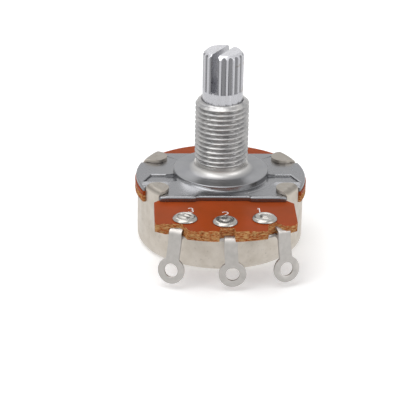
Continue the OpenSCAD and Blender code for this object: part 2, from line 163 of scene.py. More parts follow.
def even_path(points, count, rounding, weight):
    """A closed path of count points. Its corners are rounded by a moving average whose window is
    rounding mm long. Steps are shorter where weight, a function of x and y, is larger."""
    k = max(1, int(rounding / 0.02 / 2))
    p = np.concatenate([points[-k:], points, points[:k + 1]])
    total = np.concatenate([np.zeros((1, 2)), np.cumsum(p, 0)])
    mean = ((total[2 * k + 1:] - total[:-2 * k - 1]) / (2 * k + 1))[:len(points) + 1]
    middle = (mean[1:] + mean[:-1]) / 2.0
    step = np.hypot(*np.diff(mean, axis=0).T) * weight(middle[:, 0], middle[:, 1])
    s = np.concatenate([[0.0], np.cumsum(step)])
    at = np.linspace(0.0, s[-1], count, endpoint=False)
    return np.stack([np.interp(at, s, mean[:, i]) for i in range(2)], -1)


def directions(xy):
    """Directions in degrees of points about the axis, made to grow steadily along the path."""
    a = np.degrees(np.unwrap(np.arctan2(xy[:, 1], xy[:, 0])))
    return np.maximum.accumulate(a) + np.arange(len(a)) * 1e-5


def outward(path):
    """Unit vectors that point out of a closed path that runs counterclockwise."""
    t = np.roll(path, -2, 0) - np.roll(path, 2, 0)
    t = t / np.hypot(t[:, 0], t[:, 1])[:, None]
    return np.stack([t[:, 1], -t[:, 0]], -1)


def grid_quads(rows, cols, closed_rows, closed_cols=True):
    """Corner numbers of a grid's quads. A closed direction joins its last line to its first."""
    r = np.arange(rows if closed_rows else rows - 1)
    c = np.arange(cols if closed_cols else cols - 1)
    i, j = np.meshgrid(r, c, indexing="ij")
    i2, j2 = (i + 1) % rows, (j + 1) % cols
    return np.stack([i * cols + j, i * cols + j2, i2 * cols + j2, i2 * cols + j], -1).reshape(-1, 4)


def with_z(xy, z):
    """Rows of x, y, z from rows of x, y and one height or a height for each."""
    return np.concatenate([xy, np.broadcast_to(np.asarray(z, float), xy.shape[:-1])[..., None]], -1)


def beside(path):
    """Unit vectors to the left of an open path."""
    t = np.gradient(path, axis=0)
    t = t / np.hypot(t[:, 0], t[:, 1])[:, None]
    return np.stack([-t[:, 1], t[:, 0]], -1)


def circle(angles, r, z):
    """Points about the axis at angles in degrees. r and z are numbers or one for each."""
    a = np.radians(angles)
    r = np.broadcast_to(np.asarray(r, float), a.shape)
    return with_z(np.stack([r * np.cos(a), r * np.sin(a)], -1), z)


def revolve(profile, count):
    """Grid of rings of count points, one ring for each (r, z) of the profile."""
    a = np.arange(count) * 2.0 * math.pi / count
    p = np.asarray(profile, float)
    r, z = p[:, :1], np.repeat(p[:, 1:2], count, 1)
    return np.stack([r * np.cos(a), r * np.sin(a), z], -1)


def capped(points, quads, cols):
    """Closes the first and the last ring of a grid with a fan about its middle."""
    n = len(points)
    last = n - cols
    middle = np.stack([points[:cols].mean(0), points[last:].mean(0)])
    j = np.arange(cols)
    j2 = (j + 1) % cols
    low = np.stack([j2, j, np.full(cols, n)], -1)
    high = np.stack([last + j, last + j2, np.full(cols, n + 1)], -1)
    return np.concatenate([points, middle]), [quads, low, high]


def make_piece(name, points, faces, material, sharp=35.0, layers=None):
    """A Blender object from points in mm and lists of faces with equal numbers of corners. Edges
    sharper than the given angle stay sharp. layers are named numbers, one for each point."""
    mesh = bpy.data.meshes.new(name)
    corners = [face for group in faces for face in group.tolist()]
    mesh.from_pydata(np.asarray(points, float) * MM, [], corners, shade_flat=False)
    for key, values in (layers or {}).items():
        mesh.attributes.new(key, "FLOAT", "POINT").data.foreach_set(
            "value", np.asarray(values, np.float32).ravel())
    mesh.validate()
    mesh.set_sharp_from_angle(angle=math.radians(sharp))
    mesh.materials.append(material)
    piece = bpy.data.objects.new(name, mesh)
    bpy.context.scene.collection.objects.link(piece)
    return piece


def join_grids(parts):
    """Points and faces of several (points, faces) in one mesh."""
    points, faces, n = [], [], 0
    for p, fs in parts:
        points.append(p)
        faces.extend(f + n for f in fs)
        n += len(p)
    return np.concatenate(points), faces


def closed_grid(rows):
    """Points and faces of rings that close on themselves in both directions."""
    g = np.stack(rows)
    return g.reshape(-1, 3), [grid_quads(g.shape[0], g.shape[1], True)]


def bar(sections):
    """Points and faces of a bar. Each section has four corners, and the ends are closed."""
    n = len(sections)
    ends = np.array([[0, 1, 2, 3], [4 * n - 1, 4 * n - 2, 4 * n - 3, 4 * n - 4]])
    return sections.reshape(-1, 3), [grid_quads(n, 4, False)[:, ::-1], ends]


def soften(node, width, segments=2):
    """Breaks a piece's sharp edges: its loose triangles are welded, flat ones are joined, and
    edges over 32 degrees get a small round of the given width in mm."""
    weld = node.modifiers.new("weld", "WELD")
    weld.merge_threshold = 1e-6
    flat = node.modifiers.new("flat faces", "DECIMATE")
    flat.decimate_type = "DISSOLVE"
    flat.angle_limit = math.radians(0.4)
    edge = node.modifiers.new("edge", "BEVEL")
    edge.width = width * MM
    edge.segments = segments
    edge.limit_method = "ANGLE"
    edge.angle_limit = math.radians(32.0)
    edge.harden_normals = True
    edge.miter_outer = "MITER_ARC"


# Materials

# Settings that several nodes share: noise with more or fewer small lumps in it, the part of its
# range that noise mostly stays in, and the two ways in which colours are mixed.
SMALL = {"Detail": 3.0, "Roughness": 0.6}
FEW = {"Detail": 2.0, "Roughness": 0.6}
MOST = {"From Min": 0.3, "From Max": 0.7}
COLOUR = {"out": 2, "data_type": "RGBA"}
MULTIPLY = {**COLOUR, "blend_type": "MULTIPLY"}


def add(tree, kind, values=None, out=0, stops=(), **settings):
    """Adds a node and gives its output. settings are the node's own properties, and values its
    sockets by name or number: a plain value is set, and an output of another node is linked.
    stops are the places and greys of a colour ramp."""
    node = tree.nodes.new("ShaderNode" + kind)
    for key, value in settings.items():
        setattr(node, key, value)
    for key, value in (values or {}).items():
        if isinstance(value, bpy.types.NodeSocket):
            tree.links.new(value, node.inputs[key])
        else:
            node.inputs[key].default_value = value
    for _ in stops[2:]:
        node.color_ramp.elements.new(0.5)
    if stops:
        for element, (place, grey) in zip(node.color_ramp.elements, stops):
            element.position = place
            element.color = (grey, grey, grey, 1.0)
    return node.outputs[out]


def per_mm(size):
    """Scale of a pattern whose lumps are size mm across, on coordinates in metres."""
    return 1.0 / (size * MM)


def new_material(name, **constants):
    """A material, its shader and add() for its nodes. constants are the shader's sockets that
    hold one value."""
    material = bpy.data.materials.new(name)
    material.use_nodes = True
    tree = material.node_tree
    shader = tree.nodes["Principled BSDF"]
    for key, value in constants.items():
        shader.inputs[key.replace("_", " ")].default_value = value
    return material, shader, partial(add, tree)


def coat(shader, tone, rough, height, depth, strength=0.5):
    """Joins a colour and a roughness to a shader, and a height as a bump of depth mm."""
    tree = shader.id_data
    bump = add(tree, "Bump", {"Height": height, "Distance": depth * MM, "Strength": strength})
    for socket, value in (("Base Color", tone), ("Roughness", rough), ("Normal", bump)):
        tree.links.new(value, shader.inputs[socket])


def tinned_steel(finish):
    """Tinned sheet steel, deep drawn: a warm, pale silver with cloudy patches where the tin has
    crystallised, fine draw marks up the wall, and a soft rather than a sharp reflection. Faces
    that look upwards, such as the tabs' upper faces, are painted darker as painted shade."""
    material, shader, node = new_material("Tinned steel, deep drawn", Metallic=1.0)
    place = node("TexCoord", out="Object")
    cloud = node("TexNoise", {**SMALL, "Detail": 4.0, "Vector": place, "Scale": per_mm(2.4)})
    fleck = node("TexNoise", {**SMALL, "Vector": place, "Scale": per_mm(0.5)})
    upright = node("Mapping", {"Vector": place, "Scale": (1.0, 1.0, 0.12)})
    draw = node("TexNoise", {**SMALL, "Vector": upright, "Scale": per_mm(0.45)})
    tone = node("Mix", {0: cloud, 6: finish.tin_light, 7: finish.tin_dark}, **COLOUR)
    spots = node("ValToRGB", {"Fac": fleck},
                 stops=((0.0, 1.0), (0.60, 1.0), (0.72, 0.80), (1.0, 0.66)))
    # Painted shade: faces that look upwards, such as the tabs' tops, are darkened.
    up = node("SeparateXYZ", {0: node("NewGeometry", out="Normal")}, "Z")
    painted_top_shade = node("ValToRGB", {"Fac": up},
                  stops=((0.0, 1.0), (0.2, 1.0), (0.65, 0.46), (1.0, 0.46)))
    for shade in (painted_top_shade, spots):
        tone = node("Mix", {0: 1.0, 6: tone, 7: shade}, **MULTIPLY)
    height = node("Math", {0: draw, 1: 0.4, 2: cloud}, operation="MULTIPLY_ADD")
    rough = node("MapRange", {**MOST, "Value": cloud, "To Min": 0.34, "To Max": 0.52})
    coat(shader, tone, rough, height, 0.10, 0.6)
    return material


def cast_zinc(finish):
    """Zinc alloy, die cast: a cool, satin grey with a fine skin and faint flow marks. The faced
    seat is a little duller than the cast skin, and the cove is painted lighter towards the neck's
    foot: a painted highlight, which the seat mirrors too."""
    material, shader, node = new_material("Zinc alloy, die cast", Metallic=1.0)
    place = node("TexCoord", out="Object")
    flow = node("TexNoise", {**SMALL, "Roughness": 0.55, "Distortion": 0.6,
                             "Vector": place, "Scale": per_mm(3.5)})
    fine = node("TexNoise", {**FEW, "Vector": place, "Scale": per_mm(0.25)})
    z = node("SeparateXYZ", {0: place}, "Z")
    # Painted highlight: the cove is blended by height into the thread's lighter tone.
    neck = node("MapRange", {"Value": z, "From Min": (Z_SEAT + 0.05) * MM,
                             "From Max": (Z_SEAT + 0.75) * MM})
    tone = node("Mix", {0: flow, 6: finish.zinc, 7: finish.zinc_dark}, **COLOUR)
    tone = node("Mix", {0: neck, 6: tone, 7: finish.thread}, **COLOUR)
    rough = node("MapRange", {**MOST, "Value": flow, "To Min": 0.20, "To Max": 0.30})
    seat = node("Math", {0: z, 1: (Z_SEAT - 0.05) * MM}, operation="GREATER_THAN")
    rough = node("Math", {0: seat, 1: 0.14, 2: rough}, operation="MULTIPLY_ADD")
    coat(shader, tone, rough, fine, 0.012)
    return material


def rolled_zinc(finish):
    """Zinc alloy, thread rolled: brighter ridges with small scuffs across them."""
    material, shader, node = new_material("Zinc alloy, rolled thread", Metallic=1.0)
    place = node("TexCoord", out="Object")
    scuff = node("TexNoise", {**SMALL, "Detail": 4.0, "Roughness": 0.7,
                              "Vector": place, "Scale": per_mm(0.30)})
    wide = node("TexNoise", {**FEW, "Roughness": 0.5, "Vector": place, "Scale": per_mm(1.6)})
    tone = node("Mix", {0: wide, 6: finish.thread, 7: finish.zinc_dark}, **COLOUR)
    spots = node("ValToRGB", {"Fac": scuff},
                 stops=((0.0, 0.72), (0.40, 0.86), (0.52, 1.0), (1.0, 1.0)))
    tone = node("Mix", {0: 1.0, 6: tone, 7: spots}, **MULTIPLY)
    rough = node("MapRange", {**MOST, "Value": scuff, "To Min": 0.42, "To Max": 0.26})
    coat(shader, tone, rough, scuff, 0.03, 0.6)
    return material


def plated_brass(finish):
    """Brass, turned, splined and silver plated: bright, with fine marks along the splines, painted
    shade that darkens the side faces by radius, most in the flutes, and a little brass showing
    where the plating is thin."""
    material, shader, node = new_material("Brass, turned and silver plated", Metallic=1.0)
    place = node("TexCoord", out="Object")
    upright = node("Mapping", {"Vector": place, "Scale": (1.0, 1.0, 0.18)})
    along = node("TexNoise", {**SMALL, "Vector": upright, "Scale": per_mm(0.22)})
    thin = node("TexNoise", {**SMALL, "Vector": place, "Scale": per_mm(1.3)})
    worn = node("ValToRGB", {"Fac": thin},
                stops=((0.0, 0.0), (0.63, 0.0), (0.76, 0.55), (1.0, 0.7)))
    tone = node("Mix", {0: worn, 6: finish.plating, 7: finish.brass}, **COLOUR)
    # Painted shade: side faces are darkened by their distance from the axis, most in the flutes and
    # least on the crests.
    flat = node("VectorMath", {0: place, 1: (1.0, 1.0, 0.0)}, operation="MULTIPLY")
    reach = node("VectorMath", {0: flat}, "Value", operation="LENGTH")
    share = node("Math", {0: reach, 1: 1.0 / (SHAFT_R * MM)}, operation="MULTIPLY")
    flute_shade_stops = ((0.0, 0.9), (0.84, 0.9), (0.9, 0.42), (0.93, 0.42), (0.985, 1.0), (1.0, 1.0))
    painted_flute_shade = node("ValToRGB", {"Fac": share}, stops=flute_shade_stops)
    up = node("SeparateXYZ", {0: node("NewGeometry", out="Normal")}, "Z")
    up = node("Math", {0: up}, operation="ABSOLUTE")
    side = node("ValToRGB", {"Fac": up}, stops=((0.0, 1.0), (0.35, 1.0), (0.6, 0.0), (1.0, 0.0)))
    tone = node("Mix", {0: side, 6: tone, 7: painted_flute_shade}, **MULTIPLY)
    rough = node("MapRange", {**MOST, "Value": along, "To Min": 0.20, "To Max": 0.34})
    coat(shader, tone, rough, along, 0.012)
    return material


def tinned_brass(finish):
    """Brass strip, stamped and hot tinned: a dull, even grey, a little uneven where the tin ran."""
    material, shader, node = new_material("Brass strip, stamped and tinned", Metallic=1.0)
    place = node("TexCoord", out="Object")
    run = node("TexNoise", {**SMALL, "Roughness": 0.55, "Vector": place, "Scale": per_mm(0.9)})
    grain = node("TexNoise", {**FEW, "Vector": place, "Scale": per_mm(0.12)})
    tone = node("Mix", {0: run, 6: finish.terminal, 7: finish.terminal_dark}, **COLOUR)
    height = node("Math", {0: grain, 1: 0.2, 2: run}, operation="MULTIPLY_ADD")
    rough = node("MapRange", {**MOST, "Value": run, "To Min": 0.42, "To Max": 0.55})
    coat(shader, tone, rough, height, 0.03)
    return material


def phenolic_paper(board):
    """Phenolic resin bonded paper, pressed and punched: glossy orange brown on its face, and pale
    torn paper layers where the punch broke the edge. The point layer torn is 0 to 1."""
    material, shader, node = new_material("Phenolic paper, pressed and punched", IOR=1.55,
                                          Specular_IOR_Level=0.03)
    place = node("TexCoord", out="Object")
    torn = node("Attribute", out="Fac", attribute_name="torn")
    across = node("Mapping", {"Vector": place, "Scale": (1.0, 0.25, 1.0)})
    layered = node("Mapping", {"Vector": place, "Scale": (0.35, 0.35, 1.6)})
    cloud = node("TexNoise", {**SMALL, "Roughness": 0.5, "Vector": place, "Scale": per_mm(4.0)})
    flow = node("TexNoise", {**SMALL, "Vector": across, "Scale": per_mm(0.9)})
    fibre = node("TexNoise", {**SMALL, "Detail": 4.0, "Roughness": 0.7,
                              "Vector": layered, "Scale": per_mm(0.22)})
    speck = node("TexNoise", {**SMALL, "Roughness": 0.7, "Vector": place, "Scale": per_mm(0.14)})
    face = node("Mix", {0: cloud, 6: board.face_light, 7: board.face_dark}, **COLOUR)
    share = node("Math", {0: flow, 1: 0.35}, operation="MULTIPLY")
    face = node("Mix", {0: share, 6: face, 7: board.face_dark}, **COLOUR)
    pale = node("ValToRGB", {"Fac": fibre},
                stops=((0.0, 0.0), (0.42, 0.0), (0.62, 1.0), (1.0, 1.0)))
    layers = node("Mix", {0: pale, 6: board.edge_dark, 7: board.edge_light}, **COLOUR)
    ragged = node("Math", {0: speck, 1: 0.5}, operation="SUBTRACT")
    spread = node("Math", {0: ragged, 1: 0.9, 2: torn}, operation="MULTIPLY_ADD")
    mask = node("ValToRGB", {"Fac": spread},
                stops=((0.0, 0.0), (0.42, 0.0), (0.58, 1.0), (1.0, 1.0)))
    tone = node("Mix", {0: mask, 6: face, 7: layers}, **COLOUR)
    height = node("Math", {0: fibre, 1: speck}, operation="ADD")
    height = node("Math", {0: height, 1: mask}, operation="MULTIPLY")
    rough = node("MapRange", {"Value": mask, "To Min": 0.26, "To Max": 0.8})
    coat(shader, tone, rough, height, 0.10, 0.8)
    return material


def screen_ink():
    """Epoxy ink, screen printed: thin, slightly broken white."""
    material, shader, node = new_material("Epoxy ink, screen printed", IOR=1.5, Roughness=0.45)
    place = node("TexCoord", out="Object")
    gap = node("TexNoise", {**FEW, "Vector": place, "Scale": per_mm(0.12)})
    tone = node("ValToRGB", {"Fac": gap}, stops=((0.0, 0.62), (0.45, 0.86), (1.0, 0.95)))
    material.node_tree.links.new(tone, shader.inputs["Base Color"])
    return material


def two_tone(name, light, dark, metallic, rough, size=0.6, depth=0.02):
    """A plain finish: two tones in lumps of size mm, duller where they are dark, and a bump of
    depth mm."""
    material, shader, node = new_material(name, Metallic=metallic)
    place = node("TexCoord", out="Object")
    lump = node("TexNoise", {**SMALL, "Vector": place, "Scale": per_mm(size)})
    tone = node("Mix", {0: lump, 6: light, 7: dark}, **COLOUR)
    rough = node("MapRange", {**MOST, "Value": lump, "To Min": rough - 0.06,
                              "To Max": rough + 0.06})
    coat(shader, tone, rough, lump, depth)
    return material


def dress(name, material):
    """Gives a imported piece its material."""
    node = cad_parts[name]
    node.data.materials.clear()
    node.data.materials.append(material)
    return node


# Settings

def colour(name, text, code):
    """A colour setting, with an sRGB hex colour as its default."""
    return bpy.props.FloatVectorProperty(name=name, description=text, subtype="COLOR", size=4,
                                         min=0.0, max=1.0, default=linear(code))


def length(name, text, size, low, high):
    """A length setting, with its default and its limits in mm."""
    return bpy.props.FloatProperty(name=name, description=text, unit="LENGTH", precision=5,
                                   default=size * MM, min=low * MM, max=high * MM)


def bearing(name, text, degrees):
    """An angle setting, with its default in degrees."""
    return bpy.props.FloatProperty(name=name, description=text, subtype="ANGLE",
                                   unit="ROTATION", default=math.radians(degrees))


def power(name, text, watts):
    """A lamp's power, with its default in watts."""
    return bpy.props.FloatProperty(name=name, description=text, unit="POWER", min=0.0,
                                   default=watts)


class FinishSettings(PropertyGroup):
    """Colours of the metals."""
    tin_light: colour("Can, light", "Lighter tone of the tinned steel can", "DCD5CC")
    tin_dark: colour("Can, dark", "Darker tone of the tinned steel can", "B7AEA1")
    zinc: colour("Casting, light", "Lighter tone of the zinc casting", "8E8E8F")
    zinc_dark: colour("Casting, dark", "Darker tone of the zinc casting", "7B7C80")
    # The thread's tone also paints the highlight on the casting's cove.
    thread: colour("Thread", "Tone of the rolled thread", "CDCBC8")
    plating: colour("Shaft plating", "Tone of the plated shaft", "C6C6CA")
    brass: colour("Brass", "Tone of the brass under the plating", "85704A")
    terminal: colour("Terminals, light", "Lighter tone of the tinned terminals", "C3BFBB")
    terminal_dark: colour("Terminals, dark", "Darker tone of the tinned terminals", "ABA8A4")
    rivet: colour("Rivets", "Tone of the rivet heads", "97938D")


class BushingSettings(PropertyGroup):
    """Sizes of the thread and of the casting's rounds."""
    pitch: length("Thread pitch", "Height of one turn of the thread", 0.75, 0.3, 1.5)
    depth: length("Thread depth", "Height of the thread's ridge", 0.40, 0.1, 0.6)
    rim: length("Plate rim", "Radius of the plate's rounded upper rim", 0.26, 0.1, 0.4)
    groove: length("Groove depth", "Depth of the two grooves beside the seat", 0.30, 0.1, 0.4)


class BoardSettings(PropertyGroup):
    """Colours of the board and sizes of its torn edge and its digits."""
    face_light: colour("Face, light", "Lighter tone of the board's face", "B34819")
    face_dark: colour("Face, dark", "Darker tone of the board's face", "8E421C")
    edge_light: colour("Torn edge, light", "Pale torn paper", "DDB67C")
    edge_dark: colour("Torn edge, dark", "Resin between the torn layers", "B05A2E")
    tear: length("Tear", "Height of the roughness of the torn edge", 0.07, 0.0, 0.2)
    digit: length("Digit height", "Height of the terminal numbers", 1.45, 1.0, 2.5)


class StudioSettings(PropertyGroup):
    """Camera and light."""
    azimuth: bearing("Azimuth", "Direction of the camera about the shaft", -2.6)
    elevation: bearing("Elevation", "Height of the camera above the horizon", 24.77)
    roll: bearing("Roll", "Turn of the camera about its own axis", 1.23)
    distance: length("Distance", "Distance of the camera from its target", 281.0, 50.0, 2000.0)
    lens: bpy.props.FloatProperty(
        name="Lens", description="Focal length of the camera in millimetres",
        default=159.7, unit="CAMERA")
    floor: colour("Floor", "Colour of the floor", "F2F2F2")
    key: power("Key light", "Power of the key light", 0.54)
    fill: power("Fill light", "Power of the fill light", 0.36)


# Shapes of the new pieces

def plate_outline():
    """Outline of the casting's plate: a circle of 12.75 cut straight at the front and the rear,
    with a shallow recess at the front and a slot for each tab of the can."""
    r, front, rear, half, floor, recess = 12.75, -8.9, 7.75, 9.25, 11.55, 0.4
    f = slot_corners(TAB_FORE, half, floor, r)
    b = slot_corners(TAB_AFT, half, floor, r)
    b[3] = (rear / math.tan(math.radians(TAB_AFT + half)), rear)
    corner = (math.sqrt(r ** 2 - front ** 2), front)
    right = np.concatenate([
        lines((0.0, front + recess), (3.82, front + recess), (4.08, front), corner),
        arc(r, angle_of(corner), angle_of(f[0])), lines(*f),
        arc(r, angle_of(f[3]), angle_of(b[0])), lines(*b, (0.0, rear)),
    ])
    return np.concatenate([right, right[::-1] * (-1.0, 1.0)])


def plate_height(xy, bushing):
    """Height of the plate's upper side over Z_TOP. A groove is a steep step down inside its four
    edges, under a narrow chamfer. In front of it the plate is a little higher and slopes down
    over 1.2, and along the front edge it rises again in a narrow lip."""
    near, far, inner, tip = -3.3, -0.5, 7.08, 10.5
    x, y = np.abs(xy[..., 0]), xy[..., 1]
    r = np.hypot(x, y)
    wide = smooth_step(x, 7.0, 8.4) * smooth_step(-x, -12.3, -11.6)
    slope = 0.14 * np.clip(1.0 - (near - y) / 1.2, 0.0, 1.0) * (y < near)
    lip = 0.06 * smooth_step(-y, 8.15, 8.45) * smooth_step(-x, -8.8, -8.2)
    level = slope * wide + lip
    mitre = -((x - tip) * 0.905 + (y - far) * 0.426)
    inside = np.minimum(np.minimum(far - y, y - near), np.minimum(mitre, r - inner))
    inside = np.minimum(inside, x - 6.75)
    sunk = np.interp(inside, (-0.13, 0.0, 0.05), (0.0, 0.09, bushing.groove / MM))
    return level - sunk, inside > 0.0


def casting(bushing):
    """Plate, seat and cove as one closed grid. Its columns follow the plate's outline, and its
    rows run from the bore out under the plate, up the rounded rim, inwards over the top, the
    seat's wall and the seat, up the cove to the thread's foot and back down the bore. The wall is
    slightly convex and stands on a hollow, a quarter of an ellipse 1.04 wide and 0.12 high.
    Towards the front left the hollow grows as a bell curve of the direction, to 2.64 and 0.68, and
    runs out over the plate. The cove is a power curve, 1 wide. A stop post for the wiper's
    carrier hangs under the plate."""
    count = 1080
    weight = lambda x, y: 1.0 + 1.6 * (np.abs(x) > 10.0) * (np.abs(y + 1.8) < 2.0)
    path = even_path(plate_outline(), count, 0.5, weight)
    out = outward(path)
    rim = bushing.rim / MM
    start = path - rim * out
    a = directions(start)
    ray = circle(a, 1.0, 0.0)[:, :2]
    rows = [circle(a, BORE_R, Z_PLATE), circle(a, 7.0, Z_PLATE)]
    rows.append(with_z(path - 0.06 * out, Z_PLATE))
    rows.append(with_z(path, Z_PLATE + 0.06))
    edge = plate_height(start, bushing)[0]
    for turn in np.radians(np.linspace(0.0, 90.0, 7)):
        xy = path - rim * (1.0 - math.cos(turn)) * out
        rows.append(with_z(xy, Z_TOP + edge - rim + rim * math.sin(turn)))
    spread = np.exp(-(((a - 232.0 + 180.0) % 360.0 - 180.0) / 32.0) ** 2)
    foot = (8.2 + 1.6 * spread)[:, None]
    width, height = foot - WALL_R, 0.12 + 0.56 * spread
    edge_r = np.hypot(start[:, 0], start[:, 1])[:, None]
    foot = np.minimum(foot, edge_r - 0.08)
    for t in np.linspace(0.0, 1.0, 47)[1:]:
        xy = start + (foot * ray - start) * t
        rows.append(with_z(xy, Z_TOP + plate_height(xy, bushing)[0]))
    for t in np.radians((8.0, 17.0, 26.0, 35.0, 44.0, 53.0, 62.0, 71.0, 79.0, 85.0, 90.0)):
        r = foot - (foot - WALL_R) * math.sin(t)
        xy = r * ray
        level, groove = plate_height(xy, bushing)
        across = np.clip((WALL_R + width - r) / width, 0.0, 1.0)[:, 0]
        hollow = 0.02 + height * (1.0 - np.sqrt(1.0 - across ** 2))
        rows.append(with_z(xy, Z_TOP + np.where(groove, level, np.maximum(level, hollow))))
    brow = Z_SEAT - 0.14
    drop = brow - np.maximum(Z_TOP + 0.05 + height, Z_SEAT - 0.70)
    for u in (1.0, 0.8, 0.6, 0.4, 0.2):
        d = drop * u
        rows.append(circle(a, SEAT_R + 0.10 * d + 0.07 * d ** 2, brow - d))
    for r, z in ((SEAT_R, brow), (7.09, Z_SEAT - 0.08), (6.98, Z_SEAT), (6.9, Z_SEAT)):
        rows.append(circle(a, r, z))
    for v in np.linspace(0.0, 1.0, 10):
        rows.append(circle(a, THREAD_R + (1.0 - v) ** 2.8, Z_SEAT + COVE_H * v))
    rows.append(circle(a, BORE_R, Z_THREAD))
    turns = np.linspace(-104.5, -75.5, 25)
    inner, outer, low, high = 4.9, 6.2, Z_PLATE - 2.6, Z_PLATE + 0.2
    section = ((inner, low), (outer, low), (outer, high), (inner, high))
    post = bar(np.stack([circle(turns, r, z) for r, z in section], 1))
    return join_grids([closed_grid(rows), post])


def thread_radius(turns, depth):
    """Radius of the thread. Over one turn the ridge rises in a straight line from a sharp root,
    stays flat for about a seventh, and falls again."""
    tri = 1.0 - np.abs(2.0 * (turns - np.floor(turns)) - 1.0)
    return THREAD_R - depth + depth * np.clip(tri / 0.86, 0.0, 1.0)


def threaded_neck(bushing):
    """Threaded neck with its bore as one closed grid of rings. A ring's radius is the thread's
    at height over pitch less the share of a turn, faded in at the foot and cut by the chamfer."""
    pitch, depth = bushing.pitch / MM, bushing.depth / MM
    count = 168
    z = np.linspace(Z_THREAD - 0.01, Z_BUSHING, 230)
    a = np.arange(count) * 2.0 * math.pi / count
    zz, aa = np.meshgrid(z, a, indexing="ij")
    turns = (zz - Z_THREAD) / pitch - aa / (2.0 * math.pi) - 0.44
    fade = smooth_step(zz - Z_THREAD - 0.35 * aa / (2.0 * math.pi), 0.0, 0.45)
    r = (THREAD_R - depth) * (1.0 - fade) + thread_radius(turns, depth) * fade
    r = r + 0.012 * waves(aa * THREAD_R, zz, 5, 24, 0.35, 1.6) * fade
    chamfer = THREAD_R - smooth_step(zz, Z_BUSHING - 0.62, Z_BUSHING - 0.02) * 0.62
    r = np.minimum(r, chamfer)
    outer = np.stack([r * np.cos(aa), r * np.sin(aa), zz], -1)
    bore = ((3.18, Z_BUSHING), (BORE_R, Z_BUSHING - 0.13), (BORE_R, Z_THREAD - 0.01))
    return closed_grid(list(outer) + list(revolve(bore, count)))


def board_outline():
    """Outline of the board's face: a circle of 12.89 with a slot for each tab, and at the front a
    tongue that steps out between the outer terminals and has a notch over each terminal."""
    r, half, floor = 12.89, 8.7, 11.9
    f = slot_corners(TAB_FORE, half, floor, r)
    b = slot_corners(TAB_AFT, half, floor, r)
    side = math.tan(math.radians(half - TAB_FORE))
    right, left = 10.43, -10.15
    rest = np.concatenate([
        lines(*f[1:]), arc(r, angle_of(f[3]), angle_of(b[0])),
        lines(*b), arc(r, angle_of(b[3]), 90.0),
    ])
    tongue = lines(
        (-f[1][0], f[1][1]), (left, left * side), (-10.08, -16.55), (-6.5, -16.47),
        (-5.85, -17.4), (-5.15, -18.97), (-0.95, -18.98), (-0.8, -17.75), (1.25, -17.7),
        (1.4, -18.98), (5.95, -18.95), (6.3, -16.5), (7.4, -15.95), (8.0, -16.5),
        (8.5, -17.15), (10.2, -17.0), (10.45, -16.1), (right, -right * side), f[1])
    return np.concatenate([tongue, rest, rest[::-1] * (-1.0, 1.0)])


def torn_board(board):
    """Board as one closed grid. Columns follow the outline, and rows run from the hub's hole out
    underneath, up the edge, inwards over the face and back down the hole. The edge leans in
    below, to an arc of 19.05 in the middle and of 18.6 at the shoulders. Where the punch tore
    it, sums of sine waves roughen it in steps like paper layers. The layer torn is 1 on such an
    edge and fades on the face."""
    count = 1200
    path = even_path(board_outline(), count, 0.14, lambda x, y: 1.0 + 1.0 * (y < -15.5))
    x = path[:, 0]
    reach = 18.6 + 0.45 * smooth_step(-np.abs(x), -8.0, -6.0)
    low = path.copy()
    low[:, 1] = np.maximum(path[:, 1], -np.sqrt(reach ** 2 - x ** 2))
    front = smooth_step(-path[:, 1], 15.6, 16.1)
    side = smooth_step(-np.abs(np.abs(x) - 12.3), -1.2, -0.8) * smooth_step(-path[:, 1], 8.0, 6.0)
    s = np.concatenate([[0.0], np.cumsum(np.hypot(*np.diff(path, axis=0).T))])
    flat = np.zeros(count)
    chip = np.clip(0.35 + 0.8 * waves(s, flat, 13, 24, 0.5, 3.0), 0.0, 2.0) * front
    tear = board.tear / MM
    a = directions(path)
    rows, torn = [], []

    def row(xy, z, amount):
        rows.append(with_z(xy, z))
        torn.append(np.broadcast_to(np.asarray(amount, float), (count,)))

    ray = circle(a, 1.0, 0.0)[:, :2]
    hole = 6.5 * ray
    row(hole, Z_BOARD, 0.0)
    row(9.0 * ray, Z_BOARD, 0.0)
    row(low * 0.985, Z_BOARD, 0.0)
    unit = path / np.hypot(path[:, 0], path[:, 1])[:, None]
    row(low - 0.04 * unit, Z_BOARD, front)
    for v in np.linspace(0.02, 1.0, 18):
        flake = waves(s, flat + 14.0 * v, 11, 30, 0.25, 1.6)
        layer = waves(s, flat + 9.0 * round(v * 6.0), 12, 20, 0.5, 3.0)
        amount = np.clip(front + side * smooth_step(0.75 - v, 0.0, 0.2), 0.0, 1.0)
        push = np.clip(tear * (0.6 * flake + 0.9 * layer - 0.6), -0.25, 0.0) * amount
        push = push * (1.0 - 0.75 * smooth_step(v, 0.85, 1.0))
        push = push - 0.10 * chip * smooth_step(v, 0.6, 1.0)
        xy = low + (path - low) * v + push[:, None] * unit
        row(xy, Z_BOARD + (Z_PLATE - Z_BOARD - 0.04) * v, amount)
    row(path - (0.02 + 0.12 * chip)[:, None] * unit, Z_PLATE - 0.01, front * 0.8)
    start = path - (0.04 + 0.13 * chip)[:, None] * unit
    row(start, Z_PLATE, front * 0.5)
    start_r = np.hypot(start[:, 0], start[:, 1])
    for deep in (0.15, 0.35):
        row(start * (1.0 - deep / start_r)[:, None], Z_PLATE, front * (0.35 - deep))
    begin = start * (1.0 - 0.5 / start_r)[:, None]
    for t in (0.0, 0.2, 0.45, 0.7, 0.9, 1.0):
        row(begin + (hole - begin) * t, Z_PLATE, 0.0)
    points, faces = closed_grid(rows)
    return points, faces, np.concatenate(torn)


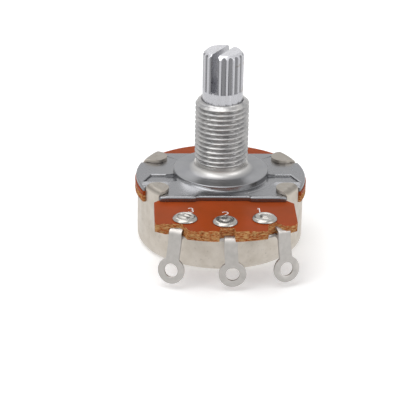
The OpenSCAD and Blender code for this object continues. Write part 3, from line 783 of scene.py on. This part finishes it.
def rivet_profile():
    """Radius and height of a dished rivet. Its head is a low rim near radius 1.3 and a dome in
    the middle, each a bell curve, on a face that falls away at the outer edge. Its foot is a
    rounded flange under the terminal, whose sheet is 0.45 thick."""
    low = Z_BOARD - 0.04 - 0.45
    r = np.linspace(1.8, 0.06, 34)
    bell = lambda at, wide: np.exp(-((r - at) / wide) ** 2)
    head = 0.36 + 0.11 * bell(1.30, 0.30) + 0.15 * bell(0.20, 0.60)
    head = head * np.sqrt(np.clip(1.0 - np.clip((r - 1.36) / 0.46, 0.0, 1.0) ** 2, 0.0, 1.0))
    under = np.array([[0.3, low - 0.25], [1.45, low - 0.25], [1.62, low - 0.19], [1.7, low - 0.08],
                      [1.7, low], [1.2, low], [1.2, Z_PLATE + 0.005], [1.74, Z_PLATE + 0.005]])
    return np.concatenate([under, np.stack([r, Z_PLATE + 0.02 + head], -1)])


def rivet_grid(centre, seed):
    """Rivet about its own axis, moved to centre, with its head pressed a little out of round."""
    profile = rivet_profile()
    count = 72
    grid = revolve(profile, count)
    x, y = grid[..., 0], grid[..., 1]
    inside = smooth_step(-np.hypot(x, y), -1.5, -0.2) * (grid[..., 2] > Z_PLATE)
    grid[..., 2] += 0.025 * waves(x, y, seed, 8, 0.7, 2.0) * inside
    quads = grid_quads(len(profile), count, False)
    points, faces = capped(grid.reshape(-1, 3), quads, count)
    return points + (centre[0], centre[1], 0.0), faces


def stroke(path, width, z, high):
    """Bar along a flat path. Its corners stand half the width to either side, at z and high
    above it."""
    side = beside(path) * width / 2.0
    return bar(np.stack([with_z(path + side, z + high), with_z(path - side, z + high),
                         with_z(path - side, z), with_z(path + side, z)], 1))


def terminal_bend(turn, side, lean, top):
    """Raised bend of a terminal. Its path rises in the stem's plane, leaning inwards by lean
    degrees, follows a quarter circle that ends at the height top, and runs on into the board's
    torn edge. It is drawn out from origin in front of the shaft's axis, at side to its right,
    and turned about the axis."""
    half, thick, bend_r, origin = 0.96, 0.45, 0.85, 15.8
    lean, turn = math.radians(lean), math.radians(turn)
    foot = np.array([3.195, 7.05])
    up = np.array([-math.sin(lean), math.cos(lean)])
    first = foot + up * (top - bend_r - foot[1]) / up[1]
    a = np.radians(np.linspace(0.0, 90.0, 15))
    curve = first + np.stack([bend_r * (np.cos(a) - 1.0), bend_r * np.sin(a)], -1)
    path = np.concatenate([[foot], curve, [curve[-1] - (0.7, 0.0)]])
    inner = path + thick * beside(path)
    c, s = math.cos(turn), math.sin(turn)
    corners = []
    for u, edge in ((-half, path), (half, path), (half, inner), (-half, inner)):
        x, y = np.full(len(path), side + u), -origin - edge[:, 0]
        corners.append(np.stack([x * c - y * s, x * s + y * c, edge[:, 1]], -1))
    return bar(np.stack(corners, 1))


def bend(cx, cy, r, a0, a1, n=14):
    """Points of an arc of radius r about a centre, from one angle to another."""
    a = np.radians(np.linspace(a0, a1, n))
    return np.stack([cx + r * np.cos(a), cy + r * np.sin(a)], -1)


def digit_paths():
    """Centre lines of the plain digits 1, 2 and 3 in a box 0.6 wide and 1 high."""
    return {
        1: np.array([[0.12, 0.78], [0.22, 0.88], [0.32, 1.0], [0.32, 0.66], [0.32, 0.33],
                     [0.32, 0.0]]),
        2: np.concatenate([bend(0.3, 0.7, 0.28, 165, -35),
                           [[0.30, 0.28], [0.03, 0.0], [0.3, 0.0], [0.6, 0.0]]]),
        3: np.concatenate([bend(0.28, 0.75, 0.24, 150, -80), bend(0.28, 0.26, 0.27, 80, -150)]),
    }


# Operators

class POT_OT_case(Operator):
    """Finish the drawn can with its four tabs"""
    bl_idname = "potentiometer.case"
    bl_label = "Can"

    def execute(self, context):
        material = tinned_steel(context.scene.pot_finish)
        soften(dress("case_cup", material), 0.07, 3)
        return {"FINISHED"}


class POT_OT_board(Operator):
    """Build the phenolic board with its torn front edge"""
    bl_idname = "potentiometer.board"
    bl_label = "Board"

    def execute(self, context):
        board = context.scene.pot_board
        points, faces, torn = torn_board(board)
        piece = make_piece("board", points, faces, phenolic_paper(board), 40.0, {"torn": torn})
        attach(piece, "case")
        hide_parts("element_board")
        return {"FINISHED"}


class POT_OT_bushing(Operator):
    """Build the cast plate with its seat, and the threaded neck"""
    bl_idname = "potentiometer.bushing"
    bl_label = "Plate and Bushing"

    def execute(self, context):
        bushing, finish = context.scene.pot_bushing, context.scene.pot_finish
        plate = make_piece("plate", *casting(bushing), cast_zinc(finish), 28.0)
        neck = make_piece("thread", *threaded_neck(bushing), rolled_zinc(finish), 50.0)
        for piece in (plate, neck):
            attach(piece, "case")
            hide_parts("bushing_plate")
        return {"FINISHED"}


class POT_OT_shaft(Operator):
    """Finish the plated shaft with its splines and saw slot"""
    bl_idname = "potentiometer.shaft"
    bl_label = "Shaft"

    def execute(self, context):
        material = plated_brass(context.scene.pot_finish)
        soften(dress("shaft", material), 0.045)
        return {"FINISHED"}


class POT_OT_rivets(Operator):
    """Build the three dished rivets: small bright heads with tool marks in the dish"""
    bl_idname = "potentiometer.rivets"
    bl_label = "Rivets"

    def execute(self, context):
        finish = context.scene.pot_finish
        material = two_tone("Brass, cold headed and tinned", finish.rivet, finish.terminal_dark,
                            1.0, 0.24, 0.45, 0.03)
        for number in (1, 2, 3):
            node = f"rivet_{number}"
            low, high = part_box(node)
            centre = ((low.x + high.x) / 2.0 / MM, (low.y + high.y) / 2.0 / MM)
            rivet = rivet_grid(centre, 20 + number)
            piece = make_piece(f"rivet_head_{number}", *rivet, material, 50.0)
            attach(piece, "case")
            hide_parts(node)
        return {"FINISHED"}


class POT_OT_terminals(Operator):
    """Finish the three terminals with their solder rings and raised bends"""
    bl_idname = "potentiometer.terminals"
    bl_label = "Terminals"

    def execute(self, context):
        material = tinned_brass(context.scene.pot_finish)
        # Turn about the shaft's axis, place to the right, lean and height of each raised bend.
        bends = {1: (21.3, 1.8, 8.0, 8.95), 2: (0.0, 0.74, 0.0, 8.3), 3: (-21.3, -0.43, 9.0, 8.95)}
        for number, place in bends.items():
            soften(dress(f"terminal_{number}", material), 0.06)
            piece = make_piece(f"terminal_bend_{number}", *terminal_bend(*place), material)
            soften(piece, 0.06)
            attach(piece, "case")
        return {"FINISHED"}


class POT_OT_digits(Operator):
    """Print the numbers 1, 2 and 3 beside the rivets"""
    bl_idname = "potentiometer.digits"
    bl_label = "Terminal Numbers"

    def execute(self, context):
        board = context.scene.pot_board
        high = board.digit / MM
        places = {3: (-4.85, -11.7), 2: (0.15, -12.95), 1: (5.15, -11.7)}
        parts = []
        for number, path in digit_paths().items():
            x, y = places[number]
            path = (path - (0.3, 0.5)) * high + (x, y)
            parts.append(stroke(path, 0.14, Z_PLATE - 0.005, 0.02))
        piece = make_piece("terminal_numbers", *join_grids(parts), screen_ink())
        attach(piece, "case")
        return {"FINISHED"}


class POT_OT_inside(Operator):
    """Finish the printed element, the wiper and the rotor's pieces inside the can"""
    bl_idname = "potentiometer.inside"
    bl_label = "Element and Wiper"

    def execute(self, context):
        # Dull black ink, pale silver, grey steel, two warm bronzes and a nearly black resin.
        silver = ("collector_ring", "end_pad_1", "end_pad_3")
        for pieces, name, light, dark, *look in (
                (("carbon_track",), "Carbon ink, screen printed", "1C1C1D", "121213", 0.0, 0.5),
                (silver, "Silver ink, screen printed", "C8C8C4", "A6A6A0", 1.0, 0.45),
                (("retaining_ring",), "Spring steel, blackened", "55565A", "3C3D40", 1.0, 0.35),
                (("thrust_washer",), "Bronze, stamped", "B08A5A", "94703F", 1.0, 0.32),
                (("wiper_spring",), "Phosphor bronze, stamped", "BE8E58", "A2733F", 1.0, 0.28),
                (("wiper_carrier",), "Phenolic resin, moulded", "221F1E", "161414", 0.0, 0.42,
                 1.2)):
            material = two_tone(name, linear(light), linear(dark), *look)
            for piece in pieces:
                dress(piece, material)
        return {"FINISHED"}


class POT_OT_stage(Operator):
    """Set up the floor, the lights, the background and the camera"""
    bl_idname = "potentiometer.stage"
    bl_label = "Studio"

    def execute(self, context):
        studio = context.scene.pot_studio
        self.floor(studio)
        self.background(context)
        self.lights(context, studio)
        self.camera(context, studio)
        context.scene.view_settings.view_transform = "Standard"
        return {"FINISHED"}

    def floor(self, studio):
        """Level square under the lowest point. The camera sees it as white with the shadow kept."""
        low = CAD_BOX[0][2] / MM
        side = np.linspace(-900.0, 900.0, 9)
        x, y = np.meshgrid(side, side)
        points = np.stack([x, y, np.full_like(x, low - 0.02)], -1).reshape(-1, 3)
        material, shader, node = new_material("Floor, matt white", Roughness=0.9,
                                              Base_Color=studio.floor)
        seen = node("LightPath", out="Is Camera Ray")
        mirrored = node("LightPath", out="Is Glossy Ray")
        lift = node("Math", {0: seen, 1: 0.30}, operation="MULTIPLY")
        share = node("Math", {0: mirrored, 1: 0.8}, operation="MULTIPLY")
        glow = node("Emission", {"Color": WHITE, "Strength": lift})
        lit = node("AddShader", {0: shader.outputs[0], 1: glow})
        white = node("Emission", {"Color": WHITE, "Strength": 1.0})
        total = node("MixShader", {0: share, 1: lit, 2: white})
        tree = material.node_tree
        tree.links.new(total, tree.nodes["Material Output"].inputs["Surface"])
        floor = make_piece("floor", points, [grid_quads(9, 9, False, False)], material)

    def background(self, context):
        """White world for the camera and for reflections, softer for its light."""
        world = bpy.data.worlds.new("Studio background")
        context.scene.world = world
        world.use_nodes = True
        tree = world.node_tree
        plain = tree.nodes["Background"]
        plain.inputs["Color"].default_value = WHITE
        strength = 0.32
        for kind in ("Is Camera Ray", "Is Transmission Ray", "Is Glossy Ray"):
            ray = add(tree, "LightPath", out=kind)
            strength = add(tree, "Math", {0: ray, 1: strength}, operation="MAXIMUM")
        tree.links.new(strength, plain.inputs["Strength"])

    def lights(self, context, studio):
        """Soft boxes overhead and behind on the left, and weaker ones in front on both sides."""
        for name, watts, wide, high, at in (
                ("key", studio.key, 0.28, 0.28, (-0.09, -0.06, 0.36)),
                ("back", studio.key * 0.65, 0.34, 0.20, (-0.07, 0.24, 0.33)),
                ("front", studio.fill * 0.55, 0.18, 0.18, (-0.25, -0.17, 0.28)),
                ("fill", studio.fill, 0.25, 0.25, (0.30, -0.20, 0.22))):
            data = bpy.data.lights.new(name, "AREA")
            data.energy = watts
            data.shape = "RECTANGLE"
            data.size = wide
            data.size_y = high
            lamp = bpy.data.objects.new(name, data)
            lamp.matrix_world = looking(at)
            context.scene.collection.objects.link(lamp)

    def camera(self, context, studio):
        """Pinhole camera on a ring about the shaft, looking a little left of and above its foot."""
        az, el = studio.azimuth, studio.elevation
        back = np.array([math.sin(az) * math.cos(el), -math.cos(az) * math.cos(el), math.sin(el)])
        right = np.array([math.cos(az), math.sin(az), 0.0])
        up = np.cross(back, right)
        c, s = math.cos(studio.roll), math.sin(studio.roll)
        across, above = c * right + s * up, -s * right + c * up
        place = right * -1.80 * MM + np.array([0.0, 0.0, 4.42 * MM]) + back * studio.distance
        data = bpy.data.cameras.new("camera")
        data.lens = studio.lens
        data.sensor_width = 36.0
        data.sensor_fit = "HORIZONTAL"
        data.clip_start = 0.01
        data.clip_end = 10.0
        camera = bpy.data.objects.new("camera", data)
        camera.matrix_world = pose(across, above, back, place)
        context.scene.collection.objects.link(camera)
        context.scene.camera = camera


def pose(x, y, z, at):
    """Matrix of an object from its three axes and its place in metres."""
    matrix = np.eye(4)
    matrix[:3] = np.stack([x, y, z, at], -1)
    return Matrix(matrix.tolist())


def looking(at):
    """Matrix of a lamp at a point in metres that shines towards the middle of the part."""
    z = np.array(at) - (0.0, 0.0, 0.012)
    z = z / np.linalg.norm(z)
    x = np.cross((0.0, 0.0, 1.0), z)
    x = x / np.linalg.norm(x)
    return pose(x, np.cross(z, x), z, at)


class POT_PT_panel(bpy.types.Panel):
    """Pieces and settings of the potentiometer"""
    bl_label = "Rotary Potentiometer"
    bl_space_type = "VIEW_3D"
    bl_region_type = "UI"
    bl_category = "Potentiometer"

    def draw(self, context):
        layout = self.layout
        for operator in OPERATORS:
            layout.operator(operator.bl_idname)
        for group in (context.scene.pot_finish, context.scene.pot_bushing,
                      context.scene.pot_board, context.scene.pot_studio):
            box = layout.box()
            for key in group.__annotations__:
                box.prop(group, key)


SETTINGS = (("pot_finish", FinishSettings), ("pot_bushing", BushingSettings),
            ("pot_board", BoardSettings), ("pot_studio", StudioSettings))
OPERATORS = (POT_OT_case, POT_OT_board, POT_OT_bushing, POT_OT_shaft, POT_OT_rivets,
             POT_OT_terminals, POT_OT_digits, POT_OT_inside, POT_OT_stage)


def register():
    """Registers the settings, the pieces' operators and the panel."""
    for name, group in SETTINGS:
        bpy.utils.register_class(group)
        setattr(bpy.types.Scene, name, bpy.props.PointerProperty(type=group))
    for operator in OPERATORS:
        bpy.utils.register_class(operator)
    bpy.utils.register_class(POT_PT_panel)


def unregister():
    """Removes what register() added."""
    bpy.utils.unregister_class(POT_PT_panel)
    for operator in reversed(OPERATORS):
        bpy.utils.unregister_class(operator)
    for name, group in reversed(SETTINGS):
        delattr(bpy.types.Scene, name)
        bpy.utils.unregister_class(group)


def main():
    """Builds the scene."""
    register()
    bpy.ops.potentiometer.case()
    bpy.ops.potentiometer.board()
    bpy.ops.potentiometer.bushing()
    bpy.ops.potentiometer.shaft()
    bpy.ops.potentiometer.rivets()
    bpy.ops.potentiometer.terminals()
    bpy.ops.potentiometer.digits()
    bpy.ops.potentiometer.inside()
    bpy.ops.potentiometer.stage()


if __name__ == "__main__":
    main()
